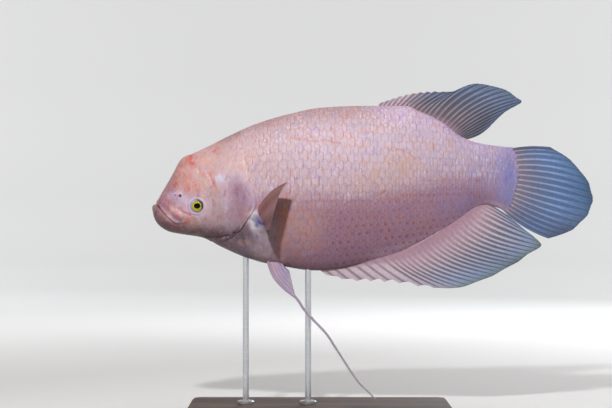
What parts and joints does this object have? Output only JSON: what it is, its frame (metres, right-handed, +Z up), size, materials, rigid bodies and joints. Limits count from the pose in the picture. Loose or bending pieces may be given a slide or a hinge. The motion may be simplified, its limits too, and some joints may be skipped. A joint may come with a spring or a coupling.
{
  "type": "albino giant gourami model on a display stand",
  "caption": "Still, life-size albino giant gourami with spread fins and long trailing pelvic rays, held over a flat wooden base by steel rods.",
  "frame": {"origin": "centre of the flat underside of the stand's base", "axes": "+X from the fish's head to its tail, +Y out of its right flank, +Z up"},
  "size_m": [0.5733, 0.17, 0.4305],
  "materials": {
    "head_skin": "satin, pale pink flushed red over the forehead",
    "lip_skin": "satin, darker pink",
    "gill_skin": "satin, mauve pink",
    "body_skin": "satin, pale pink with red scale edges",
    "eye": "gloss, yellow iris and black pupil",
    "mauve_fin": "satin, mauve with pale rays",
    "blue_fin": "satin, blue grey with pale rays",
    "brown_fin": "satin, brownish pink",
    "base_wood": "satin dark wood",
    "rod_steel": "brushed"
  },
  "bodies": {
    "root": {"head": "head_skin", "lower_jaw": "lip_skin", "gill_cover_left": "gill_skin", "gill_cover_right": "gill_skin", "eye_left": "eye", "eye_right": "eye", "trunk": "body_skin", "tail_stalk": "body_skin", "dorsal_fin": "mauve_fin", "anal_fin": "mauve_fin", "tail_fin": "blue_fin", "pectoral_fin_left": "brown_fin", "pectoral_fin_right": "brown_fin", "pelvic_fin_left": "mauve_fin", "pelvic_fin_right": "mauve_fin", "stand_base": "base_wood", "stand_rod_front": "rod_steel", "stand_rod_rear": "rod_steel"}
  },
  "joints": []
}
